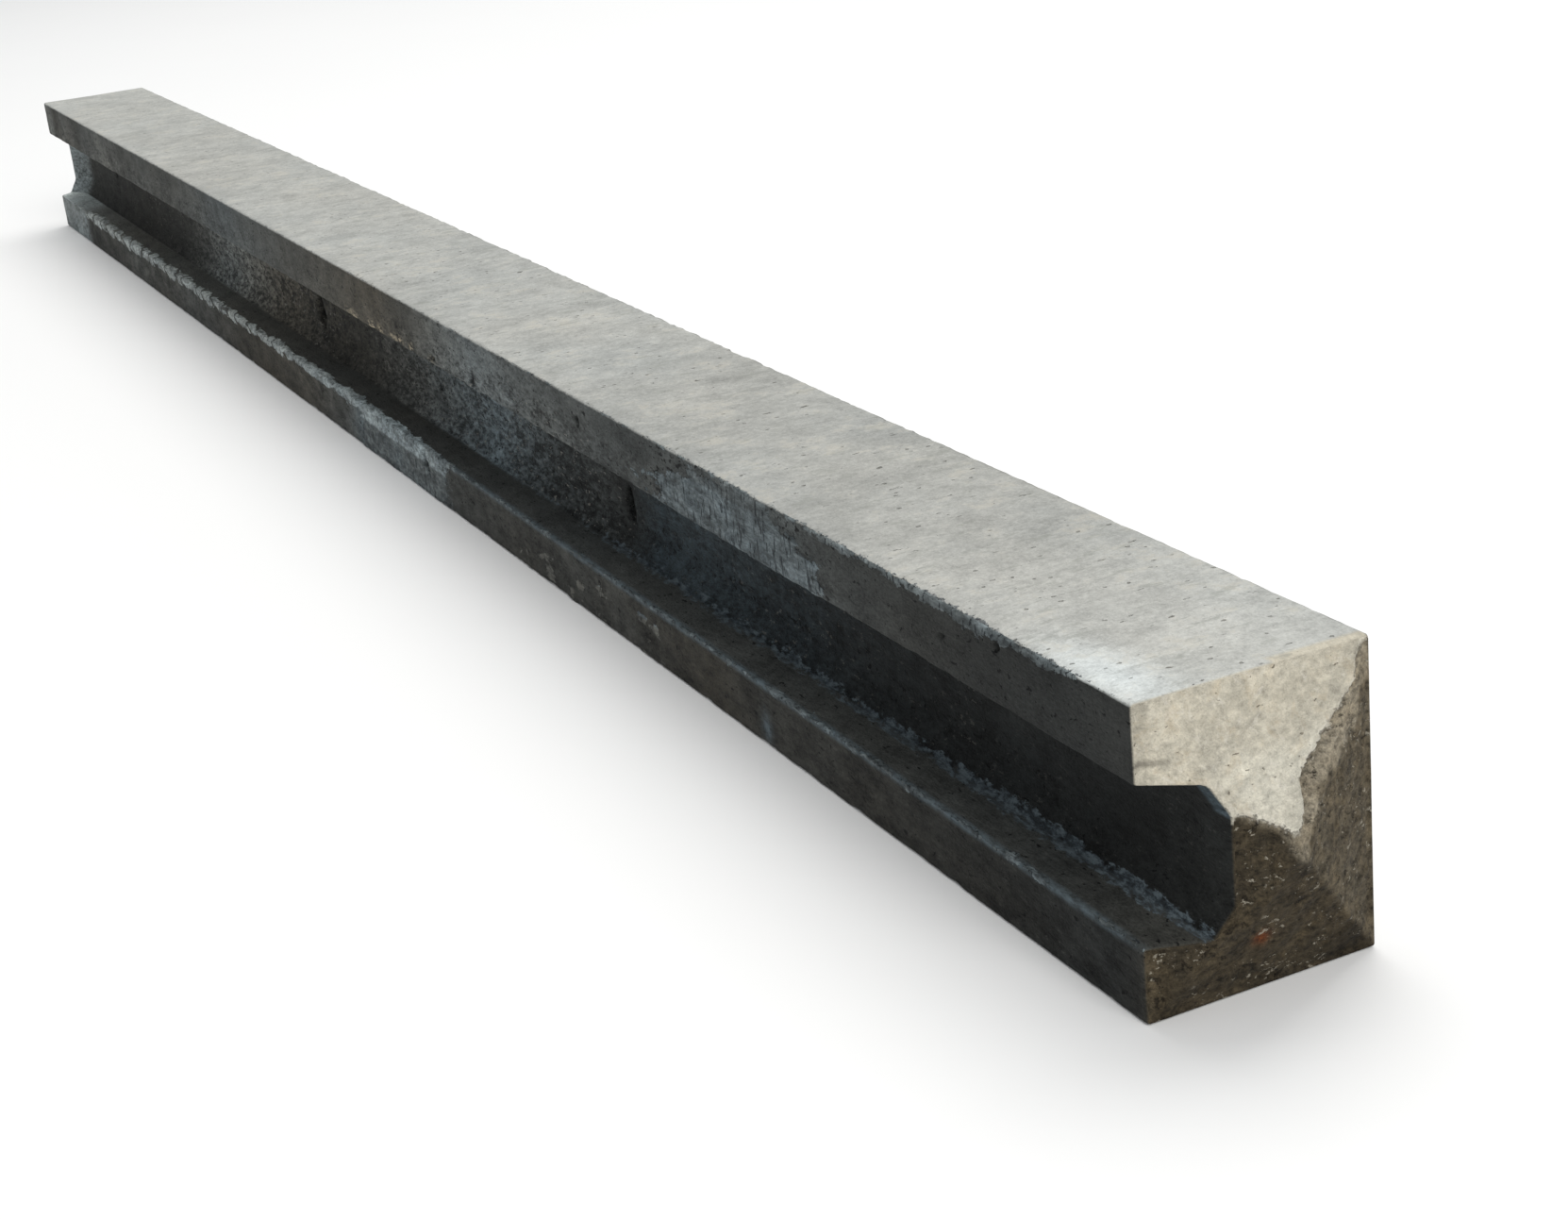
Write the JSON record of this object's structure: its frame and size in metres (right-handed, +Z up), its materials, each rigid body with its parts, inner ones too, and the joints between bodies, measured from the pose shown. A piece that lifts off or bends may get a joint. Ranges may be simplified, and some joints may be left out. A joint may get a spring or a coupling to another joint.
{
  "type": "concrete fence post",
  "caption": "Precast concrete fence end post lying flat, with a slot along its face that takes panels and gravel boards, a low weathered top, and a steel cage cast inside.",
  "frame": {"origin": "middle of the underside, on the surface the post lies on", "axes": "+X along the post towards its weathered top, the panel slot opens towards -Y, +Z up out of the trowelled face"},
  "size_m": [1.75, 0.088, 0.109],
  "materials": {
    "concrete": "cast against steel moulds, top face trowelled; rough, matt, stained",
    "bar_steel": "mill scale with light rust",
    "link_steel": "drawn wire, lightly rusted",
    "tie_steel": "black annealed wire",
    "spacer_plastic": "black moulded plastic"
  },
  "bodies": {
    "root": {"concrete_post": "concrete", "bar_slot_low": "bar_steel", "bar_slot_high": "bar_steel", "bar_back_low": "bar_steel", "bar_back_high": "bar_steel", "link_1": "link_steel", "link_2": "link_steel", "link_3": "link_steel", "link_4": "link_steel", "link_5": "link_steel", "link_6": "link_steel", "tie_1_low": "tie_steel", "tie_1_high": "tie_steel", "tie_2_low": "tie_steel", "tie_2_high": "tie_steel", "tie_3_low": "tie_steel", "tie_3_high": "tie_steel", "tie_4_low": "tie_steel", "tie_4_high": "tie_steel", "tie_5_low": "tie_steel", "tie_5_high": "tie_steel", "tie_6_low": "tie_steel", "tie_6_high": "tie_steel", "spacer_1_slot": "spacer_plastic", "spacer_1_back": "spacer_plastic", "spacer_2_slot": "spacer_plastic", "spacer_2_back": "spacer_plastic", "spacer_3_slot": "spacer_plastic", "spacer_3_back": "spacer_plastic"}
  },
  "joints": []
}
